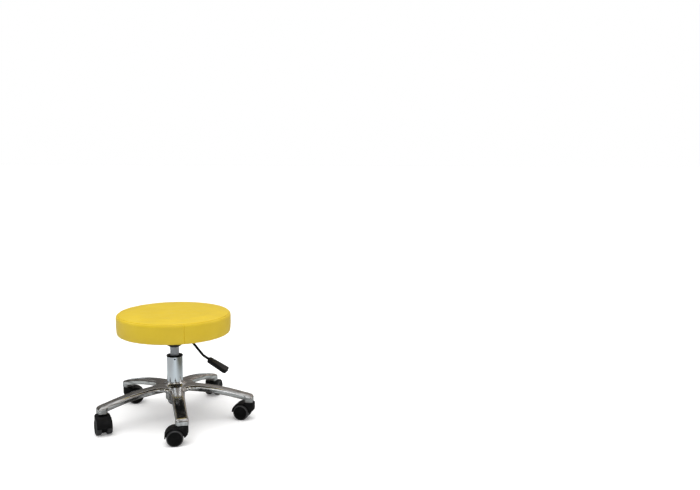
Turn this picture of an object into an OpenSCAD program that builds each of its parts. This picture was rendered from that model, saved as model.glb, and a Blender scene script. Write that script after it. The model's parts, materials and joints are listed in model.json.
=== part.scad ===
// Pedicure stool: a round padded seat on a gas column, with a five-arm star base on twin-wheel casters.
// Millimetres, +Z up. The origin is on the floor under the column's axis, and arm 1 points along -Y.
// The seat is drawn at its lowest, with the gas cylinder fully down.

/* [Seat] */
// Diameter of the cushion
seat_d = 360; // [320:5:400]
// Height of the seat's top above the floor, at its lowest
seat_top = 350; // [340:1:370]
// Radius of the cushion's upper edge
edge_top_r = 11; // [6:1:16]
// Radius of the cushion's lower edge
edge_low_r = 6; // [4:1:8]
// Thickness of the vinyl cover
cover_t = 1.5; // [1:0.25:2.5]
// Thickness of the plywood board
board_t = 15; // [12:1:18]
// Distance between the bolts under the seat
bolt_spacing = 120; // [100:5:130]

/* [Column] */
// Outer diameter of the chrome tube
tube_d = 50; // [50:1:54]
// Outer diameter of the gas cylinder's pressure tube
gas_d = 28; // [26:1:30]
// Travel of the seat
lift = 80; // [60:1:80]
// Direction of the guide bush's peg, in degrees from +X
peg_turn = -94; // [-180:1:180]

/* [Lever] */
// Direction of the release lever, in degrees from +X
lever_turn = -34; // [-180:1:180]
// Diameter of the lever's rod
lever_d = 8; // [7:0.5:9]
// Slope of the rod below the horizontal, between its two bends
rod_slope = 46.5; // [40:0.5:56]
// Slope of the handle below the horizontal
handle_slope = 26; // [20:1:36]
// Roll of the handle about its own axis, towards the front
handle_roll = 10; // [0:1:15]
// Length of the handle
handle_len = 72; // [50:1:90]

/* [Star base] */
// Distance from the column's axis to each caster's stem
stem_circle_r = 238.5; // [220:0.5:260]
// Width of an arm near the hub
arm_w = 41; // [39:1:44]
// Width of an arm at its outer end
arm_end_w = 36; // [32:1:37]
// Height of an arm's section
arm_h = 18; // [15:1:20]
// Height of the arms' top where they leave the hub
arm_top = 114.5; // [110:0.5:118]
// Radius of the arms' downward curve
arm_curve_r = 720; // [680:5:780]

/* [Casters] */
// Diameter of a wheel
wheel_d = 50; // [46:1:50]
// Width over the two wheels
caster_w = 49; // [46:1:52]
// Distance from the stem's axis to the wheels' axis
trail = 21; // [20:0.5:24]
// Diameter of the stem
stem_d = 11; // [10:0.5:11]
// Direction in which caster 1 trails, in degrees from +X
caster_1_turn = 175; // [0:1:359]
// Direction in which caster 2 trails
caster_2_turn = 151; // [0:1:359]
// Direction in which caster 3 trails
caster_3_turn = 62; // [0:1:359]
// Direction in which caster 4 trails
caster_4_turn = 3; // [0:1:359]
// Direction in which caster 5 trails
caster_5_turn = 280; // [0:1:359]

/* [Hidden] */
$fn = 96;
eps = 0.01; // overshoot of a cut past the face that it opens
fit = 0.05; // radial clearance of a running fit
air = 0.3; // gap between faces that never touch
press = 0.02; // radial gap drawn at a press fit

caster_count = 5;
arm_step = 360 / caster_count;
first_arm = -90;
caster_turns = [caster_1_turn, caster_2_turn, caster_3_turn, caster_4_turn, caster_5_turn];

// Casters, from the floor up
wheel_r = wheel_d / 2;
wheel_w = 16.5;
wheel_gap = 1.5; // between a wheel's tread and the hood
web_w = 15; // thickness of the hood between its wheels
axle_r = 3;
axle_len = 40;
hood_r = wheel_r + 5;
hood_w = caster_w - 3;
hood_top = wheel_d + 7.4;
housing_reach = 20; // how far the hood reaches past the stem, away from the wheels
housing_low = wheel_r; // height of the hood's lower edge
stem_r = stem_d / 2;
collar_r = stem_r + 2.5;
collar_t = 0.8;
boss_low = hood_top + air + collar_t;
stem_low = 35.5;
stem_top = boss_low + 15;
grip_low = stem_top - 6;
grip_h = 3;
grip_depth = 0.8;

// Star base
boss_len = 27;
boss_w = arm_end_w + 2;
boss_corner_r = 5;
arm_wall = 3.5;
arm_relief = 6; // depth of the shallow channel under each arm
arm_edge_r = 8;
arm_crest_x = 25; // distance from the column's axis to the top of the arms' curve
taper_from_x = 90; // distance from the column's axis at which an arm starts to narrow
crotch_r = 60; // distance from the column's axis to the web's edge midway between two arms
web_plate_t = 11; // thickness of the web between the arms
web_plate_drop = 2; // depth of the web's top below the arms' top
hub_r = 37;
hub_low = boss_low + 7.5;
skirt_r = 30;
flare_h = 10; // height over which the skirt widens to the hub
shoulder_h = 6; // height over which the hub narrows to its collar
hub_wall = 3; // wall of the collar round the tube
hub_top = 124;
taper_foot_r = tube_d / 2 - 1.6;

// Column, from its lower end up
tube_r = tube_d / 2;
tube_wall = 1.6;
tube_in_r = tube_r - tube_wall;
tube_low = 50;
tube_foot_h = 6;
tube_foot_r = 19;
tube_mouth_r = 17.5;
tube_top = 206;
floor_t = 4;
race_t = 2;
race_r = 13;
ball_r = 2;
ball_gap = 0.02;
ball_count = 10;
ball_circle_r = 9;
race_low = tube_low + floor_t;
ball_low = race_low + race_t;
race_high = ball_low + 2 * ball_r;
shoulder = race_high + race_t;
rod_r = 5;
rod_foot_r = 4;
rod_foot_low = 45;
clip_low = tube_low - 2.5;
clip_t = 1;
clip_r = 8;
groove_r = 3.2;
washer_r = 10;
bump_top = shoulder + 12;
bump_r = 12.5;

// Gas cylinder, fully down
gas_r = gas_d / 2;
gas_wall = 1.6;
gas_in_r = gas_r - gas_wall;
gas_low = bump_top + air;
crimp_t = 2;
crimp_r = 9;
guide_h = 15;
seal_h = 5;
piston_low = gas_low + crimp_t + guide_h + seal_h + lift + 2;
piston_h = 10;
spigot_r = 3;
nut_h = 3;
nut_r = 6;
ring_h = 3;
ring_depth = 1.6;

// Seat, from its underside up
board_low = 286;
plate_t = 3;
plate_low = board_low - plate_t;
socket_low = 237;
socket_h = 31;
socket_foot_r = 15.5;
socket_foot_h = 5.5;
socket_r = 23.75;
taper_drop = 0.8; // how much the cylinder's radius shrinks over the socket
chamber_r = 18;
gas_top = socket_low + socket_h;
valve_h = 30;
plate_w = 150;
plate_corner_r = 14;
board_r = seat_d / 2 - 8;
seat_r = seat_d / 2;
flap_in_r = board_r - 28;
bush_flange_h = 4;
bush_flange_r = tube_r + 1;
bush_sleeve_h = 56;
peg_r = 2;

// Bolts under the seat
bolt_r = 3;
washer_t = 1.5;
washer_out_r = 8;
head_r = 5.8;
head_h = 4;
tee_barrel_r = 4;
tee_flange_r = 9.5;
tee_flange_t = 1.2;

// Dust cover and staples under the seat
cloth_t = 0.6;
cloth_r = flap_in_r + 14;
cloth_window_w = plate_w + 6;
staple_count = 40;
staple_w = 10;
staple_wire = 1;

// Lever and its bracket
lever_r = lever_d / 2;
lever_room = 1.6; // gap above the lever, which its tail needs when it is lifted
lever_z = plate_low - lever_r - lever_room;
pivot_x = 30; // distance from the column's axis to the lever's pin
pivot_r = 2;
first_bend_x = 38;
first_bend_r = 14;
slope_len = 73.5;
second_bend_r = 30;
rod_tail_len = 42; // length of the rod after its second bend
grip_start = 14.5; // where the handle begins on the rod's tail
handle_w = 17;
handle_end_w = 27;
handle_t = 16;
handle_drop = 2; // distance of the handle's middle below the rod's axis
handle_corner_r = 4;
ear_t = 3;
ear_len = 12;
ear_gap = lever_d + 1;
pin_r = 3;
pin_gap = 0.05; // between the release pin and the lever's tip, at rest
pin_top = lever_z - lever_r - pin_gap;
pin_len = 22;
pin_room = 6; // depth of the valve's bore under the release pin

// ---- helpers ----

module ring(outer_r, inner_r, h) {
  difference() {
    cylinder(r = outer_r, h = h);
    translate([0, 0, -eps])
      cylinder(r = inner_r, h = h + 2 * eps);
  }
}

module at_arm(i) {
  rotate([0, 0, first_arm + arm_step * i])
    translate([stem_circle_r, 0, 0])
      children();
}

module at_each_arm() {
  for (i = [0:caster_count - 1])
    at_arm(i)
      children();
}

module at_caster(i) {
  at_arm(i)
    rotate([0, 0, caster_turns[i] - first_arm - arm_step * i])
      children();
}

module at_bolts() {
  for (x = [-1, 1], y = [-1, 1])
    translate([x * bolt_spacing / 2, y * bolt_spacing / 2, 0])
      children();
}

module rounded_square(w, d, corner_r) {
  square([w, d - 2 * corner_r], center = true);
  square([w - 2 * corner_r, d], center = true);
  for (x = [-1, 1], y = [-1, 1])
    translate([x * (w / 2 - corner_r), y * (d / 2 - corner_r)])
      circle(r = corner_r, $fn = 48);
}

// ---- star base ----

// Sweeps a section along the arms' curve. The section's X is the distance from the curve's centre.
module along_arm(from_x, to_x) {
  from_a = asin((from_x - arm_crest_x) / arm_curve_r);
  to_a = asin((to_x - arm_crest_x) / arm_curve_r);
  translate([arm_crest_x, 0, arm_top - arm_curve_r])
    rotate([90, -90, 180])
      rotate([0, 0, from_a])
        rotate_extrude(angle = to_a - from_a, $fn = 720)
          children();
}

module arm_section() {
  top = arm_curve_r;
  union() {
    translate([top - arm_h, -arm_w / 2])
      square([arm_h - arm_edge_r, arm_w]);
    translate([top - arm_edge_r, -arm_w / 2 + arm_edge_r])
      square([arm_edge_r, arm_w - 2 * arm_edge_r]);
    for (side = [-1, 1])
      translate([top - arm_edge_r, side * (arm_w / 2 - arm_edge_r)])
        circle(r = arm_edge_r, $fn = 48);
  }
}

// Plan that narrows an arm between taper_from_x and its boss
module arm_taper(end_x) {
  slope = (arm_w - arm_end_w) / 2 / (end_x - taper_from_x);
  start_half_w = arm_w / 2 + slope * taper_from_x;
  end_half_w = arm_end_w / 2 - slope * boss_len;
  polygon([
    [0, start_half_w],
    [end_x + boss_len, end_half_w],
    [end_x + boss_len, -end_half_w],
    [0, -start_half_w]
  ]);
}

module arm() {
  boss_start = stem_circle_r - boss_len / 2;
  boss_end = stem_circle_r + boss_len / 2;
  root_x = hub_r - 12;
  channel_x = crotch_r + 1;
  channel_w = arm_end_w - 2 * arm_wall;
  boss_reach = 60; // more than the height of a boss
  difference() {
    intersection() {
      along_arm(root_x, boss_end - boss_corner_r)
        arm_section();
      linear_extrude(height = hub_top)
        arm_taper(boss_end);
    }
    along_arm(channel_x, boss_start - 2)
      translate([arm_curve_r - arm_h - 1, -channel_w / 2])
        square([arm_relief + 1, channel_w]);
  }
  intersection() {
    translate([stem_circle_r, 0, boss_low])
      linear_extrude(height = boss_reach)
        rounded_square(boss_len, boss_w, boss_corner_r);
    along_arm(stem_circle_r - boss_len, stem_circle_r + boss_len)
      translate([arm_curve_r - boss_reach, -boss_w / 2 - 1])
        square([boss_reach, boss_w + 2]);
  }
}

// Web that fills the corners between neighbouring arms with a round fillet
module hub_web() {
  half_step = arm_step / 2;
  fillet_r = (crotch_r * sin(half_step) - arm_w / 2) / (1 - sin(half_step));
  fillet_x = crotch_r + fillet_r;
  overlap = 0.6;
  translate([0, 0, arm_top - web_plate_drop - web_plate_t])
    difference() {
      cylinder(r = fillet_x * cos(half_step), h = web_plate_t);
      for (i = [0:caster_count - 1])
        rotate([0, 0, first_arm + arm_step * (i + 0.5)])
          translate([fillet_x, 0, -1])
            cylinder(r = fillet_r + overlap, h = web_plate_t + 2);
    }
}

module hub() {
  shoulder_z = hub_top - shoulder_h;
  flare_z = arm_top - arm_h;
  translate([0, 0, hub_low])
    cylinder(r = skirt_r, h = shoulder_z - hub_low);
  translate([0, 0, flare_z - flare_h])
    cylinder(r1 = skirt_r, r2 = hub_r, h = flare_h);
  translate([0, 0, flare_z])
    cylinder(r = hub_r, h = shoulder_z - flare_z);
  translate([0, 0, shoulder_z])
    cylinder(r1 = hub_r, r2 = tube_r + hub_wall, h = shoulder_h);
}

module tube_taper(grow) {
  cylinder(r1 = taper_foot_r + grow, r2 = tube_r + grow, h = hub_top - hub_low);
}

module star_base() {
  color("silver")
    difference() {
      union() {
        hub();
        hub_web();
        for (i = [0:caster_count - 1])
          rotate([0, 0, first_arm + arm_step * i])
            arm();
      }
      translate([0, 0, hub_low])
        tube_taper(0);
      translate([0, 0, hub_low - 1])
        cylinder(r = taper_foot_r, h = 1 + eps);
      at_each_arm()
        translate([0, 0, boss_low - 1])
          cylinder(r = stem_r, h = stem_top - boss_low + 1);
    }
}

// ---- column ----

module outer_tube() {
  foot_top = tube_low + tube_foot_h;
  color("gainsboro")
    difference() {
      union() {
        translate([0, 0, tube_low])
          cylinder(r1 = tube_foot_r, r2 = taper_foot_r, h = tube_foot_h);
        translate([0, 0, foot_top])
          cylinder(r = taper_foot_r, h = hub_low - foot_top);
        translate([0, 0, hub_low])
          tube_taper(0);
        translate([0, 0, hub_top])
          cylinder(r = tube_r, h = tube_top - hub_top);
      }
      translate([0, 0, tube_low - 1])
        cylinder(r = tube_mouth_r, h = floor_t + 1 + eps);
      translate([0, 0, race_low])
        cylinder(r = taper_foot_r - tube_wall, h = hub_low - race_low + eps);
      translate([0, 0, hub_low])
        tube_taper(-tube_wall);
      translate([0, 0, hub_top - eps])
        cylinder(r = tube_in_r, h = tube_top - hub_top + 1);
      peg_place()
        cylinder(r = peg_r + 0.1, h = 2 * tube_wall + 1, $fn = 32);
    }
}

// Where the bush's peg leaves its sleeve for the hole in the tube.
module peg_place() {
  rotate([0, 0, peg_turn])
    translate([tube_in_r - 1, 0, tube_top - 6])
      rotate([0, 90, 0])
        children();
}

module tube_floor() {
  color("dimgray")
    translate([0, 0, tube_low])
      ring(tube_mouth_r, rod_foot_r + fit, floor_t);
}

module guide_bush() {
  sleeve_low = tube_top - bush_sleeve_h;
  bore_r = gas_r + fit;
  color([0.09, 0.09, 0.1])
    difference() {
      union() {
        translate([0, 0, tube_top])
          ring(bush_flange_r, bore_r, bush_flange_h - 1);
        translate([0, 0, tube_top + bush_flange_h - 1])
          difference() {
            cylinder(r1 = bush_flange_r, r2 = bush_flange_r - 1, h = 1);
            translate([0, 0, -eps])
              cylinder(r = bore_r, h = 2);
          }
        translate([0, 0, sleeve_low])
          ring(tube_in_r, bore_r, bush_sleeve_h);
        peg_place()
          cylinder(r = peg_r, h = tube_wall, $fn = 32);
      }
      translate([0, 0, sleeve_low - eps])
        ring(tube_in_r - 2, bore_r + 2.5, bush_sleeve_h - 8);
    }
}

module lower_race() {
  color("silver")
    translate([0, 0, race_low])
      ring(race_r, rod_foot_r + air, race_t);
}

module upper_race() {
  color("silver")
    translate([0, 0, race_high])
      ring(race_r, rod_foot_r + press, race_t);
}

module each_ball() {
  for (i = [0:ball_count - 1])
    rotate([0, 0, 360 / ball_count * i])
      translate([ball_circle_r, 0, ball_low + ball_r])
        children();
}

module bearing_balls() {
  color("gainsboro")
    each_ball()
      sphere(r = ball_r - ball_gap, $fn = 32);
}

module ball_cage() {
  cage_t = 1.6;
  color("peru")
    difference() {
      translate([0, 0, ball_low + ball_r - cage_t / 2])
        ring(race_r - 0.5, rod_foot_r + 1, cage_t);
      each_ball()
        cylinder(r = ball_r + fit, h = 2 * cage_t, center = true, $fn = 32);
    }
}

module piston_rod() {
  color("silver")
    difference() {
      union() {
        translate([0, 0, rod_foot_low])
          cylinder(r = rod_foot_r, h = shoulder - rod_foot_low);
        translate([0, 0, shoulder])
          cylinder(r = rod_r, h = piston_low - shoulder);
        translate([0, 0, piston_low])
          cylinder(r = spigot_r, h = piston_h + nut_h);
      }
      translate([0, 0, clip_low])
        ring(rod_foot_r + 1, groove_r, clip_t);
    }
}

module rod_clip() {
  color("dimgray")
    translate([0, 0, clip_low])
      difference() {
        ring(clip_r, groove_r, clip_t);
        translate([0, -groove_r * 0.7, -1])
          cube([clip_r + 1, groove_r * 1.4, clip_t + 2]);
      }
}

module rod_washer() {
  washer_low = clip_low + clip_t;
  color("darkgray")
    translate([0, 0, washer_low])
      ring(washer_r, rod_foot_r + press, tube_low - washer_low - air);
}

module bump_stop() {
  color([0.12, 0.12, 0.12])
    translate([0, 0, shoulder])
      ring(bump_r, rod_r + press, bump_top - shoulder);
}

module piston() {
  ring_low = (piston_h - ring_h) / 2;
  color("goldenrod")
    translate([0, 0, piston_low])
      difference() {
        ring(gas_in_r - fit, spigot_r + press, piston_h);
        translate([0, 0, ring_low])
          ring(gas_in_r + 1, gas_in_r - ring_depth, ring_h);
      }
}

module piston_ring() {
  color([0.1, 0.1, 0.1])
    translate([0, 0, piston_low + (piston_h - ring_h) / 2])
      ring(gas_in_r - 0.02, gas_in_r - ring_depth, ring_h);
}

module piston_nut() {
  color("silver")
    translate([0, 0, piston_low + piston_h])
      difference() {
        cylinder(r = nut_r, h = nut_h, $fn = 6);
        translate([0, 0, -1])
          cylinder(r = spigot_r + press, h = nut_h + 2);
      }
}

// ---- gas cylinder ----

module gas_taper(grow = 0) {
  cylinder(r1 = gas_r + grow, r2 = gas_r - taper_drop + grow, h = socket_h);
}

module pressure_tube() {
  bore_low = gas_low + crimp_t;
  lip_t = 2;
  color([0.62, 0.63, 0.65])
    difference() {
      union() {
        translate([0, 0, gas_low])
          cylinder(r = gas_r, h = socket_low - gas_low);
        translate([0, 0, socket_low])
          gas_taper();
      }
      translate([0, 0, gas_low - 1])
        cylinder(r = crimp_r, h = crimp_t + 2);
      translate([0, 0, bore_low])
        cylinder(r = gas_in_r, h = socket_low - bore_low);
      translate([0, 0, socket_low - eps])
        cylinder(r = gas_in_r - taper_drop, h = socket_h - lip_t + eps);
      translate([0, 0, gas_top - lip_t - 1])
        cylinder(r = crimp_r, h = lip_t + 2);
    }
}

module rod_guide() {
  color("darkgray")
    translate([0, 0, gas_low + crimp_t])
      ring(gas_in_r, rod_r + fit, guide_h);
}

module rod_seal() {
  color([0.12, 0.12, 0.12])
    translate([0, 0, gas_low + crimp_t + guide_h])
      ring(gas_in_r, rod_r + fit, seal_h);
}

module valve_body() {
  valve_top = gas_top - 2;
  bore_low = pin_top - pin_len - pin_room;
  color("goldenrod")
    difference() {
      translate([0, 0, valve_top - valve_h])
        union() {
          cylinder(r = gas_in_r - taper_drop, h = valve_h);
          cylinder(r = crimp_r - 1, h = valve_h + 2);
        }
      translate([0, 0, bore_low])
        cylinder(r = pin_r + fit, h = gas_top - bore_low + 1);
    }
}

module release_pin() {
  color("silver")
    translate([0, 0, pin_top - pin_len])
      cylinder(r = pin_r, h = pin_len);
}

// ---- under the seat ----

module seat_socket() {
  slot_low = gas_top + 1;
  color([0.08, 0.08, 0.09])
    difference() {
      union() {
        translate([0, 0, socket_low])
          cylinder(r1 = socket_foot_r, r2 = socket_r, h = socket_foot_h);
        translate([0, 0, socket_low + socket_foot_h])
          cylinder(r = socket_r, h = plate_low - socket_low - socket_foot_h);
      }
      translate([0, 0, socket_low])
        gas_taper(press);
      translate([0, 0, gas_top - eps])
        cylinder(r = chamber_r, h = plate_low - gas_top + 1);
      rotate([0, 0, lever_turn])
        translate([0, -ear_gap / 2, slot_low])
          cube([socket_r + 2, ear_gap, plate_low - slot_low + 1]);
    }
}

module seat_plate() {
  color([0.12, 0.12, 0.13]) {
    translate([0, 0, plate_low])
      difference() {
        linear_extrude(height = plate_t)
          rounded_square(plate_w, plate_w, plate_corner_r);
        at_bolts()
          translate([0, 0, -1])
            cylinder(r = bolt_r + 0.3, h = plate_t + 2, $fn = 48);
      }
    // pressed dimple that stops the lever's tip
    translate([0, 0, plate_low - lever_room + air])
      cylinder(r = 5, h = lever_room - air + 1, $fn = 48);
  }
}

module plate_washers() {
  color("silver")
    at_bolts()
      translate([0, 0, plate_low - washer_t])
        ring(washer_out_r, bolt_r + 0.2, washer_t);
}

module plate_bolts() {
  head_low = plate_low - washer_t - head_h;
  bolt_end = board_low + board_t - tee_flange_t - 1;
  color("silver")
    at_bolts() {
      translate([0, 0, head_low])
        cylinder(r = head_r, h = head_h, $fn = 6);
      translate([0, 0, head_low + head_h - eps])
        cylinder(r = bolt_r, h = bolt_end - head_low - head_h, $fn = 48);
    }
}

module tee_nuts() {
  barrel_h = board_t - tee_flange_t - 3;
  flange_low = board_low + board_t - tee_flange_t;
  color("darkgray")
    at_bolts()
      difference() {
        union() {
          translate([0, 0, flange_low - barrel_h])
            cylinder(r = tee_barrel_r, h = barrel_h + eps, $fn = 48);
          translate([0, 0, flange_low])
            cylinder(r = tee_flange_r, h = tee_flange_t, $fn = 48);
        }
        translate([0, 0, flange_low - barrel_h - 1])
          cylinder(r = bolt_r, h = board_t + 2, $fn = 48);
      }
}

module lever_frame() {
  rotate([0, 0, lever_turn])
    translate([0, 0, lever_z])
      children();
}

module lever_bracket() {
  color([0.1, 0.1, 0.11])
    lever_frame()
      difference() {
        for (side = [-1, 1])
          translate([pivot_x, side * (ear_gap + ear_t) / 2, 0])
            rotate([90, 0, 0])
              translate([0, 0, -ear_t / 2])
                linear_extrude(height = ear_t)
                  ear_outline();
        translate([pivot_x, 0, 0])
          rotate([90, 0, 0])
            cylinder(r = pivot_r, h = 2 * ear_gap + 2 * ear_t, center = true, $fn = 48);
      }
}

module ear_outline() {
  ear_top = plate_low - lever_z;
  translate([-ear_len / 2, 0])
    square([ear_len, ear_top]);
  intersection() {
    circle(r = ear_len / 2, $fn = 48);
    translate([-ear_len / 2, -ear_len])
      square([ear_len, ear_len + ear_top]);
  }
}

module lever_pin() {
  pin_out = ear_gap / 2 + ear_t;
  color("silver")
    lever_frame()
      translate([pivot_x, 0, 0])
        rotate([90, 0, 0])
          difference() {
            union() {
              translate([0, 0, -pin_out - 3])
                cylinder(r = pivot_r, h = 2 * pin_out + 3, $fn = 48);
              translate([0, 0, pin_out])
                cylinder(r = pivot_r + 1.5, h = 1.5, $fn = 48);
            }
            translate([0, 0, -pin_out - 1.5])
              ring(pivot_r + 1, pivot_r - 0.6, 0.8);
          }
}

module lever_pin_clip() {
  pin_out = ear_gap / 2 + ear_t;
  color("dimgray")
    lever_frame()
      translate([pivot_x, 0, 0])
        rotate([90, 0, 0])
          translate([0, 0, -pin_out - 1.5])
            difference() {
              ring(pivot_r + 2, pivot_r - 0.6, 0.8);
              translate([-0.8, 0, -1])
                cube([1.6, pivot_r + 3, 3]);
            }
}

// ---- seat ----

// Half section of a padded disc: X is the radius, Y the height above its underside.
module disc_section(r, h, low_r, high_r) {
  square([r - high_r, h]);
  translate([0, low_r])
    square([r, h - low_r - high_r]);
  square([r - low_r, h / 2]);
  translate([r - high_r, h - high_r])
    circle(r = high_r, $fn = 64);
  translate([r - low_r, low_r])
    circle(r = low_r, $fn = 64);
}

module seat_board() {
  color("burlywood")
    translate([0, 0, board_low])
      difference() {
        cylinder(r = board_r, h = board_t);
        at_bolts() {
          translate([0, 0, -1])
            cylinder(r = tee_barrel_r, h = board_t + 2, $fn = 48);
          translate([0, 0, board_t - tee_flange_t])
            cylinder(r = tee_flange_r, h = tee_flange_t + 1, $fn = 48);
        }
      }
}

module foam_section() {
  disc_section(seat_r - cover_t, seat_top - cover_t - board_low, edge_low_r - cover_t, edge_top_r - cover_t);
}

module seat_foam() {
  color("khaki")
    translate([0, 0, board_low])
      difference() {
        rotate_extrude()
          foam_section();
        translate([0, 0, -1])
          cylinder(r = board_r, h = board_t + 1);
      }
}

module seat_cover() {
  cover_low = board_low - cover_t;
  color([0.85, 0.72, 0.2])
    difference() {
      translate([0, 0, cover_low])
        rotate_extrude()
          disc_section(seat_r, seat_top - cover_low, edge_low_r, edge_top_r);
      translate([0, 0, board_low])
        rotate_extrude()
          foam_section();
      translate([0, 0, cover_low - 1])
        cylinder(r = flap_in_r, h = cover_t + 1 + eps);
    }
}

// Black cloth stretched across the underside, cut out round the seat plate.
module dust_cover() {
  color([0.1, 0.1, 0.1])
    translate([0, 0, board_low - cover_t - cloth_t])
      linear_extrude(height = cloth_t)
        difference() {
          circle(r = cloth_r);
          rounded_square(cloth_window_w, cloth_window_w, plate_corner_r);
        }
}

module cover_staples() {
  staple_circle_r = flap_in_r + 9;
  crown_low = board_low - cover_t - cloth_t - staple_wire;
  color("silver")
    for (i = [0:staple_count - 1])
      rotate([0, 0, 360 / staple_count * i])
        translate([staple_circle_r, 0, crown_low]) {
          translate([-staple_wire / 2, -staple_w / 2, 0])
            cube([staple_wire, staple_w, staple_wire]);
        }
}

// ---- lever ----

module rod_straight(len) {
  rotate([0, 90, 0])
    cylinder(r = lever_r, h = len, $fn = 48);
  translate([len, 0, 0])
    children();
}

// A bend is a hair thinner than the straight rod, and runs a little way into it at both ends.
module rod_bend(bend_r, angle) {
  overlap = 0.8 / bend_r * 180 / PI;
  turn = abs(angle);
  side = angle > 0 ? 1 : -1;
  translate([0, 0, -side * bend_r])
    rotate([90, 0, 0])
      rotate([0, 0, (side > 0 ? 90 - turn : -90) - overlap])
        rotate_extrude(angle = turn + 2 * overlap, $fn = 96)
          translate([bend_r, 0])
            circle(r = lever_r - 0.05, $fn = 48);
  translate([0, 0, -side * bend_r])
    rotate([0, angle, 0])
      translate([0, 0, side * bend_r])
        children();
}

// Draws its children at the end of the rod's second bend, with X along the rod.
module lever_tail_place(draw_rod) {
  bend = handle_slope - rod_slope;
  if (draw_rod) {
    rod_straight(first_bend_x)
      rod_bend(first_bend_r, rod_slope)
        rod_straight(slope_len)
          rod_bend(second_bend_r, bend)
            children();
  } else {
    slope_dir = [cos(rod_slope), 0, -sin(rod_slope)];
    slope_up = [sin(rod_slope), 0, cos(rod_slope)];
    first_end = [first_bend_x, 0, -first_bend_r] + first_bend_r * slope_up;
    tail = first_end + slope_len * slope_dir + second_bend_r * slope_up;
    tail_up = [sin(handle_slope), 0, cos(handle_slope)];
    translate(tail - second_bend_r * tail_up)
      rotate([0, handle_slope, 0])
        children();
  }
}

module release_lever() {
  color([0.07, 0.07, 0.08])
    lever_frame()
      difference() {
        union() {
          sphere(r = lever_r, $fn = 48);
          lever_tail_place(true)
            rod_straight(rod_tail_len);
        }
        translate([pivot_x, 0, 0])
          rotate([90, 0, 0])
            cylinder(r = pivot_r + fit, h = lever_d + 2, center = true, $fn = 48);
      }
}

module handle_outline() {
  hull()
    for (side = [-1, 1]) {
      translate([handle_corner_r, side * (handle_w / 2 - handle_corner_r)])
        circle(r = handle_corner_r, $fn = 32);
      translate([handle_len - handle_corner_r, side * (handle_end_w / 2 - handle_corner_r)])
        circle(r = handle_corner_r, $fn = 32);
    }
}

module lever_handle() {
  color([0.14, 0.14, 0.15])
    lever_frame()
      lever_tail_place(false)
        difference() {
          rotate([handle_roll, 0, 0])
            translate([grip_start, 0, -handle_t / 2 - handle_drop])
              linear_extrude(height = handle_t)
                handle_outline();
          rotate([0, 90, 0])
            cylinder(r = lever_r + press, h = rod_tail_len + press, $fn = 48);
        }
}

// ---- casters, drawn with the stem at the origin and the wheels towards +X ----

module stem() {
  difference() {
    union() {
      translate([0, 0, stem_low])
        cylinder(r = stem_r, h = stem_top - stem_low);
      translate([0, 0, boss_low - collar_t])
        cylinder(r = collar_r, h = collar_t);
    }
    translate([0, 0, grip_low])
      ring(stem_r + 1, stem_r - grip_depth, grip_h);
  }
}

module caster_stems() {
  color("silver")
    at_each_arm()
      stem();
}

module grip_rings() {
  color("dimgray")
    at_each_arm()
      translate([0, 0, grip_low])
        difference() {
          ring(stem_r, stem_r - grip_depth, grip_h);
          translate([0, -1, -1])
            cube([stem_r + 1, 2, grip_h + 2]);
        }
}

// Side outline of the hood: X away from the stem towards the wheels, Y up.
module hood_outline() {
  corner_r = 3;
  heel_r = 16;
  knee_r = 5;
  difference() {
    union() {
      translate([trail, wheel_r])
        circle(r = hood_r);
      hull() {
        translate([-housing_reach + corner_r, hood_top - corner_r])
          circle(r = corner_r, $fn = 32);
        translate([-housing_reach + heel_r, housing_low + heel_r])
          circle(r = heel_r, $fn = 64);
        translate([trail / 2, hood_top - corner_r])
          circle(r = corner_r, $fn = 32);
        translate([trail / 2, wheel_r])
          circle(r = knee_r, $fn = 32);
      }
    }
    translate([-hood_r, -hood_r])
      square([4 * hood_r, housing_low + hood_r]);
  }
}

// Outline of the hood from above, rounded about the stem.
module hood_plan() {
  end_r = hood_w / 2;
  translate([end_r - housing_reach, 0])
    circle(r = end_r, $fn = 96);
  translate([end_r - housing_reach, -end_r])
    square([trail + hood_r, hood_w]);
}

module caster_hood() {
  web_disc_r = wheel_r - 5;
  color([0.1, 0.1, 0.1])
    rotate([90, 0, 0])
      difference() {
        union() {
          intersection() {
            translate([0, 0, -hood_w / 2])
              linear_extrude(height = hood_w)
                hood_outline();
            rotate([-90, 0, 0])
              linear_extrude(height = 2 * hood_top)
                hood_plan();
          }
          translate([trail, wheel_r, -web_w / 2])
            cylinder(r = web_disc_r, h = web_w);
        }
        for (side = [0, 1])
          mirror([0, 0, side])
            translate([trail, wheel_r, web_w / 2])
              cylinder(r = wheel_r + wheel_gap, h = hood_w);
        translate([trail, wheel_r, -hood_w])
          cylinder(r = axle_r, h = 2 * hood_w, $fn = 48);
        translate([0, stem_low - 0.5, 0])
          rotate([-90, 0, 0])
            cylinder(r = stem_r + fit, h = hood_top, $fn = 48);
      }
}

module caster_axle() {
  color("silver")
    translate([trail, 0, wheel_r])
      rotate([90, 0, 0])
        cylinder(r = axle_r, h = axle_len, center = true, $fn = 48);
}

// One wheel: its inner side is dished, and its outer face is closed.
module wheel() {
  face_r = wheel_r - 2;
  hub_len = wheel_w - 2.5;
  shoulder_r = 2;
  rotate_extrude()
    difference() {
      union() {
        square([wheel_r - shoulder_r, wheel_w]);
        translate([0, shoulder_r])
          square([wheel_r, wheel_w - 2 * shoulder_r]);
        for (z = [shoulder_r, wheel_w - shoulder_r])
          translate([wheel_r - shoulder_r, z])
            circle(r = shoulder_r, $fn = 48);
      }
      translate([-1, -1])
        square([axle_r + fit + 1, hub_len]);
      translate([6.5, -1])
        square([12.5, wheel_w - 2.5]);
      translate([-1, wheel_w - 0.6])
        square([face_r - 1, 1]);
    }
}

module caster_wheel(side) {
  color([0.2, 0.2, 0.2])
    translate([trail, side * (caster_w / 2 - wheel_w), wheel_r])
      rotate([-90 * side, 0, 0])
        wheel();
}

// ---- the nodes ----

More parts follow.
